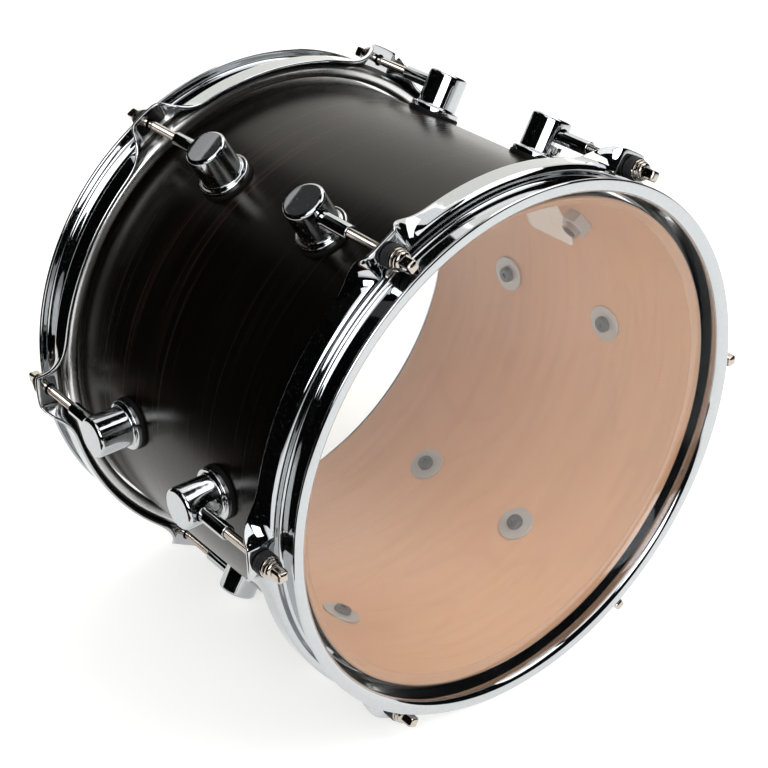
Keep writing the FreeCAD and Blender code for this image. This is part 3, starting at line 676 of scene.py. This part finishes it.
def lug_mesh():
    """Round post on a flange, with a recess for the receiver and holes for it and its set screw."""
    base, cap = LUG_LOW.x, LUG_HIGH.x
    flange = (LUG_HIGH.z - LUG_LOW.z) / 2
    post = 12.25 * MM
    shoulder = base + 3.2 * MM
    near_axis = 1e-12
    steps = 10
    corners = [(near_axis, base), (flange, base), (flange, shoulder), (post, shoulder), (post, cap),
               (near_axis, cap)]
    outline = rounded(corners, np.array([0, 0.3, 1.0, 1.2, 2.1, 0]) * MM, steps)
    outline[:steps, 0] = 0
    outline[-steps:, 0] = 0
    points, faces = lathe(outline, 112)
    body = mesh_of(about_lug(points), faces)
    recess_y = LUG_Y + 8.25 * MM
    outside = LUG_Y + 25 * MM
    screw_r = 161.475 * MM
    half = 5.05 * MM
    slot = np.concatenate([circle(ROD_R, 0, half, 25, -90, 90),
                           [(screw_r, half)], circle(screw_r, 0, 2.65 * MM, 25, 90, 270), [(screw_r, -half)]])
    bore = circle(ROD_R, 0, 4.3 * MM, 56)
    screw = circle(screw_r, 0, 2.3 * MM, 40)
    return without(body, prism(slot, recess_y, outside), prism(bore, RECEIVER_LOW.y - GAP, outside),
                   prism(screw, LUG_Y + 3.2 * MM, outside))


def gasket_mesh():
    """Rubber pad: flat where the lug sits, and below it the shell's round face at every point.

    The outline's heights are shares of the way from the lug down to the shell. The shell's face lies at the
    root of its radius squared less the square of the distance round it.
    """
    hole = BOLT_HOLE_R / MM
    outer = (GASKET_HIGH.y - LUG_Y) / MM
    outline = [(hole, 0), (outer - 0.3, 0), (outer, 0.2), (outer, 0.5), (outer, 1.0), (hole, 1.0)]
    points, faces = lathe(np.array(outline) * [MM, 1], 96)
    points = about_lug(points)
    share = points[..., 0]
    top = LUG_LOW.x - GAP
    under = np.sqrt((SHELL_R + GAP) ** 2 - points[..., 2] ** 2)
    points[..., 0] = top + (under - top) * share
    return mesh_of(points, faces)


def lug_washer_mesh():
    """Wide washer inside the shell, under a lug's bolt."""
    points, faces = plain_ring(BOLT_HOLE_R, WASHER_R, WASHER_SEAT - 1.4 * MM, WASHER_SEAT, 0.35 * MM, 72)
    return mesh_of(about_lug(points), faces)


def lug_bolt_mesh():
    """Bolt with a domed edge and a six-sided socket, whose radius is that of a hexagon at each angle."""
    around = np.linspace(0, 2 * np.pi, 72, endpoint=False)
    plain = np.ones_like(around)
    sixth = np.pi / 3
    socket = 2.0 * MM
    shank = 3 * MM
    hexagon = socket * math.cos(sixth / 2) / np.cos((around + sixth / 2) % sixth - sixth / 2)
    seat = WASHER_SEAT - 1.45 * MM
    face = seat - 3.2 * MM
    tip = BOLT_HIGH.x
    head = BOLT_HIGH.y - LUG_Y
    stack = [(0 * plain, face + 2 * MM), (hexagon, face + 2 * MM), (hexagon, face + 0.1 * MM),
             (hexagon + 0.12 * MM, face), ((head - 1.1 * MM) * plain, face),
             ((head - 0.5 * MM) * plain, face + 0.15 * MM), ((head - 0.14 * MM) * plain, face + 0.5 * MM),
             (head * plain, face + 1.1 * MM), (head * plain, seat), (shank * plain, seat),
             (shank * plain, tip), (0 * plain, tip)]
    points, faces = rings([radius for radius, height in stack], [height for radius, height in stack], False)
    return mesh_of(about_lug(points), faces)


# Shell and heads

def shell_meshes():
    """Maple core and stained outer ply, turned about the axis, with a round-over and a bevel at each edge."""
    inside = CREST_R - 0.8 * MM
    bevel_y = EDGE_Y - (inside - WALL_R)
    sweep = np.radians(np.linspace(0, 90, 13))
    round_r = CREST_R + EDGE_ROUND * np.cos(sweep)
    round_y = EDGE_Y - EDGE_ROUND + EDGE_ROUND * np.sin(sweep)
    in_core = round_r < CORE_R
    start_y = EDGE_Y - EDGE_ROUND + math.sqrt(EDGE_ROUND ** 2 - (CORE_R - CREST_R) ** 2)
    core_end = np.concatenate([[(CORE_R, start_y)], np.stack([round_r, round_y], -1)[in_core],
                               [(inside, EDGE_Y), (WALL_R, bevel_y)]])
    side = np.linspace(-bevel_y, bevel_y, 25)[1:-1]
    inner = np.stack([np.full_like(side, WALL_R), side], -1)
    core = np.concatenate([inner, core_end[::-1], core_end * [1, -1]])
    ply_end = np.concatenate([np.stack([round_r, round_y], -1)[~in_core], [(CORE_R, start_y)]])
    ply = np.concatenate([ply_end, ply_end[::-1] * [1, -1]])
    vent_r = 6.1 * MM
    within, beyond = 0.12, 0.17
    vent = prism(circle(0, 0, vent_r, 40), within, beyond)
    vent.transform(VENT_MATRIX)
    meshes = []
    for outline in (core, ply):
        points, faces = lathe(outline, 360)
        meshes.append(without(mesh_of(points, faces), vent.copy()))
        meshes[-1].transform(Matrix.Translation((0, 0, AXIS_Z)))
    return meshes


def film_mesh():
    """Film of one end: flat, then over the bearing edge, down the collar and into the flesh hoop."""
    half = 0.15 * MM
    slope = math.radians(50)
    clear = 0.1 * MM
    bend = EDGE_ROUND + clear + half
    film_y = FILM_HIGH.y - half
    leg = FILM_HIGH.x - half
    knee = CREST_R + bend * math.tan(slope / 2)
    collar_y = film_y - (leg - knee) * math.tan(slope)
    flat_r = np.concatenate([np.linspace(0, 0.14, 15), np.linspace(0.142, CREST_R - 0.0002, 8)])
    first = np.linspace(0, slope, 9)
    over = np.stack([CREST_R + bend * np.sin(first), film_y - bend + bend * np.cos(first)], -1)
    reach = bend * math.tan((math.pi / 2 - slope) / 2)
    second = np.linspace(slope, np.pi / 2, 8)
    centre = np.array([leg - bend, collar_y - reach])
    down = centre + bend * np.stack([np.sin(second), np.cos(second)], -1)
    foot = np.array([(leg, FILM_LOW.y + 3 * MM), (leg, FILM_LOW.y)])
    middle = np.concatenate([np.stack([flat_r, np.full_like(flat_r, film_y)], -1), over, down, foot])
    heading = np.concatenate([0 * flat_r, first, second, [np.pi / 2, np.pi / 2]])
    normal = np.stack([np.sin(heading), np.cos(heading)], -1) * half
    outline = np.concatenate([middle + normal, (middle - normal)[::-1]])
    points, faces = lathe(outline, 320)
    return mesh_of(points, faces)


def flesh_hoop_mesh():
    """Rolled channel with a round bottom, open outwards along the axis."""
    inner, outer = 153.5 * MM, FLESH_HIGH.x
    low, high = FLESH_LOW.y, FLESH_HIGH.y
    wall = 1.0 * MM
    outline = [(inner, low), (outer, low), (outer, high), (outer - wall, high), (outer - wall, low + wall),
               (inner + wall, low + wall), (inner + wall, high), (inner, high)]
    edge = np.array([3.4, 3.4, 0.3, 0.3, 2.4, 2.4, 0.3, 0.3]) * MM
    points, faces = lathe(rounded(outline, edge, 10), 320)
    return mesh_of(points, faces)


def label_mesh():
    """Paper label on the inner wall: a strip round it whose width shrinks in a quarter circle at each end."""
    low_angle, long, corner = math.radians(19.2), 62 * MM, 4 * MM
    left, right = 19.4 * MM, -21.5 * MM
    bend = corner * (1 - np.cos(np.linspace(0, np.pi / 2, 9)))
    along = np.concatenate([bend[:-1], np.linspace(corner, long - corner, 30), (long - bend[::-1])[1:]])
    near_end = np.clip(corner - np.minimum(along, long - along), 0, corner)
    trim = corner - np.sqrt(corner ** 2 - near_end ** 2)
    share = np.linspace(0, 1, 13)
    y = right + trim[:, None] + (left - right - 2 * trim[:, None]) * share
    angle = low_angle + along / WALL_R
    radius = WALL_R - 0.06 * MM
    points = np.stack([np.broadcast_to(radius * np.cos(angle)[:, None], y.shape), y,
                       np.broadcast_to(AXIS_Z + radius * np.sin(angle)[:, None], y.shape)], -1)
    return mesh_of(points, faces_of_grid(*y.shape, False, False)[:, ::-1])


core_mesh, ply_mesh = shell_meshes()
show("maple_core", core_mesh, MAPLE, "shell", "maple", "shell_core")
show("dark_ply", ply_mesh, STAINED, "shell", "stained_ply", "shell_outer_ply")
label = show("paper_label", label_mesh(), PAPER, "shell", "maple")
thick = label.modifiers.new("paper", "SOLIDIFY")
thick.thickness = 0.10 * MM
thick.offset = -1.0

single = {"hoop": hoop_mesh(), "film": film_mesh(), "flesh": flesh_hoop_mesh()}
by_row = {"rod": rod_mesh(), "lug": lug_mesh(), "receiver": receiver_mesh()}
grouped = {"nylon_washers": (nylon_washer_mesh(), NYLON, "hoop", "nylon"),
           "steel_washers": (steel_washer_mesh(), NICKEL, "hoop", "steel"),
           "lug_gaskets": (gasket_mesh(), RUBBER, "shell", "rubber"),
           "lug_bolts": (lug_bolt_mesh(), DARK_STEEL, "shell", "dark_steel")}

for end in ENDS:
    whole = end_matrix(end)
    hoop = copy_at(single["hoop"], whole)
    show(f"{end}_pressed_hoop", hoop, HOOP_CHROME, f"{end}_hoop", "chrome", f"{end}_hoop", f"{end}_hoop_rim")
    show(f"{end}_clear_film", copy_at(single["film"], whole), FILM, f"{end}_head", "film", f"{end}_film")
    show(f"{end}_channel", copy_at(single["flesh"], whole), ALUMINIUM, f"{end}_head", "aluminium",
         f"{end}_flesh_hoop")
    for row in ROWS:
        place = row_matrix(end, row)
        show(f"{end}_threaded_rod_{row}", copy_at(by_row["rod"], place), NICKEL, f"{end}_rod_{row}", "nickel",
             f"{end}_rod_{row}")
        show(f"{end}_round_lug_{row}", copy_at(by_row["lug"], place), LUG_CHROME, "shell", "chrome",
             f"{end}_lug_{row}")
        show(f"{end}_tube_{row}", copy_at(by_row["receiver"], place), CHROME, "shell", "chrome",
             f"{end}_receiver_{row}")
    for name, (mesh, material, body, slot) in grouped.items():
        rider = "shell" if body == "shell" else f"{end}_{body}"
        pieces = merged(mesh, [row_matrix(end, row) for row in ROWS])
        show(f"{end}_fine_{name}", pieces, material, rider, slot, f"{end}_{name}")
every_place = [row_matrix(end, row) for end in ENDS for row in ROWS]
show("fine_lug_washers", merged(lug_washer_mesh(), every_place), ZINC, "shell", "steel", "lug_washers")

for entry in frame["record"]["subparts"]:
    node = frame["nodes"][entry["node"]]
    node.data.materials.clear()
    node.data.materials.append(SLOT_LOOKS[entry["material_slot"]])


# Floor, lamps, world and camera

FLOOR_REACH = 40
BACKDROP_R = 18
BACKDROP_HEIGHT = 20
BACKDROP_SIDES = 64


def studio_piece(name, points, faces, material):
    """Object of the studio, which isn't part of the drum."""
    mesh = bpy.data.meshes.new(name)
    mesh.from_pydata(points, [], faces)
    mesh.materials.append(material)
    obj = bpy.data.objects.new(name, mesh)
    bpy.context.scene.collection.objects.link(obj)
    return obj


floor = studio_piece("floor", [(-FLOOR_REACH, -FLOOR_REACH, 0), (FLOOR_REACH, -FLOOR_REACH, 0),
                               (FLOOR_REACH, FLOOR_REACH, 0), (-FLOOR_REACH, FLOOR_REACH, 0)],
                     [(0, 1, 2, 3)], floor_paint())
floor.location.z = -0.0002

around = np.linspace(0, 2 * np.pi, BACKDROP_SIDES, endpoint=False)
foot = np.stack([BACKDROP_R * np.cos(around), BACKDROP_R * np.sin(around), 0 * around], 1)
wall = np.concatenate([foot, foot + (0, 0, BACKDROP_HEIGHT)])
backdrop = studio_piece("backdrop", wall.tolist(), faces_of_grid(2, BACKDROP_SIDES, False, True).tolist(),
                        floor_paint())
backdrop.visible_glossy = False
backdrop.visible_diffuse = False


def lamp(name, place, size, power, seen=True, colour=(1, 1, 1)):
    """Rectangular soft light, aimed at the drum's middle. Unless it is seen, metal shows no image of it."""
    data = bpy.data.lights.new(name, "AREA")
    data.shape = "RECTANGLE"
    data.size, data.size_y = size
    data.energy = power
    data.color = colour
    obj = bpy.data.objects.new(name, data)
    bpy.context.scene.collection.objects.link(obj)
    obj.location = place
    aim = Vector((0, 0, AXIS_Z)) - Vector(place)
    obj.rotation_euler = aim.to_track_quat("-Z", "Y").to_euler()
    obj.visible_glossy = seen
    obj.visible_camera = False


lamp("back wall", (1.45, 1.50, 1.0), size=(2.5, 2.3), power=23, colour=(1.0, 0.98, 0.92))
lamp("upper wall", (0.70, 1.07, 2.2), size=(0.95, 0.95), power=3.7)
lamp("overhead", (-0.5, -0.3, 2.0), size=(1.2, 1.5), power=10)
lamp("pale panel", (-0.26, 1.62, 1.51), size=(0.9, 0.21), power=0.3)
lamp("dim panel", (-0.30, 1.62, 1.85), size=(1.4, 0.44), power=0.11)
lamp("right softbox", (1.08, -0.1, 1.92), size=(2.4, 1.15), power=22)
lamp("front fill", (-1.3, -1.5, 1.5), size=(1.6, 1.2), power=36)
lamp("high fill", (0.6, -1.3, 1.7), size=(1.3, 1.3), power=28, seen=False)


def card(name, corners, colour):
    """Card beside the drum that glows with its colour and shows only in polished surfaces, as a painted
    reflection.
    """
    look = Look(name)
    glow = look.mixed(look.noise(look.place, 3.0, 1.0), opaque(colour, 0.8), opaque(colour))
    paint = look.surface(Base_Color=(0, 0, 0, 1), Specular_IOR_Level=0.0, Roughness=1.0,
                         Emission_Color=glow, Emission_Strength=1.0)
    obj = studio_piece(name, corners, [(0, 1, 2, 3)], paint)
    obj.visible_camera = False
    obj.visible_diffuse = False
    obj.visible_shadow = False
    obj.visible_transmission = False


def flat_card(name, left, right, colour):
    """Glowing card on the floor behind the drum's left side, shown only in polished surfaces as a painted
    reflection.
    """
    front, back, height = -0.3, 1.3, 0.002
    card(name, [(left, front, height), (right, front, height), (right, back, height), (left, back, height)],
         colour)


# Painted reflections: the black cards give dark reflections of a dark room, and the brown strip glows to give
# a brown reflection in the hoop's chrome.
PAINTED_REFLECTION_BLACK = (0.002, 0.002, 0.0022)
PAINTED_REFLECTION_BROWN = (0.24, 0.10, 0.04)
card("upright card", [(-0.95, -0.35, 0), (-0.45, 1.3, 0), (-0.45, 1.3, 0.85), (-0.95, -0.35, 0.85)], PAINTED_REFLECTION_BLACK)
flat_card("floor card", -1.2, -0.40, PAINTED_REFLECTION_BLACK)
flat_card("painted brown reflection", -0.40, -0.35, PAINTED_REFLECTION_BROWN)

world = bpy.data.worlds.new("studio")
bpy.context.scene.world = world
world.use_nodes = True
background = world.node_tree.nodes["Background"]
background.inputs["Color"].default_value = (1, 1, 1, 1)
background.inputs["Strength"].default_value = 0.004

camera_data = bpy.data.cameras.new("camera")
camera = bpy.data.objects.new("camera", camera_data)
bpy.context.scene.collection.objects.link(camera)
bpy.context.scene.camera = camera
azimuth, rise, roll = (math.radians(degrees) for degrees in (-39.676, 31.058, -0.019))
back = Vector((math.sin(azimuth) * math.cos(rise), -math.cos(azimuth) * math.cos(rise), math.sin(rise)))
level = Vector((math.cos(azimuth), math.sin(azimuth), 0))
upright = back.cross(level)
right = math.cos(roll) * level + math.sin(roll) * upright
up = -math.sin(roll) * level + math.cos(roll) * upright
camera.matrix_world = Matrix((right, up, back)).transposed().to_4x4()
camera.location = (-0.5354, -0.6745, AXIS_Z + 0.5051)
camera_data.sensor_fit = "HORIZONTAL"
camera_data.sensor_width = 36.0
camera_data.lens = 76.3
camera_data.shift_x = -0.0408
camera_data.shift_y = 0.0040
bpy.context.scene.view_settings.view_transform = "Standard"
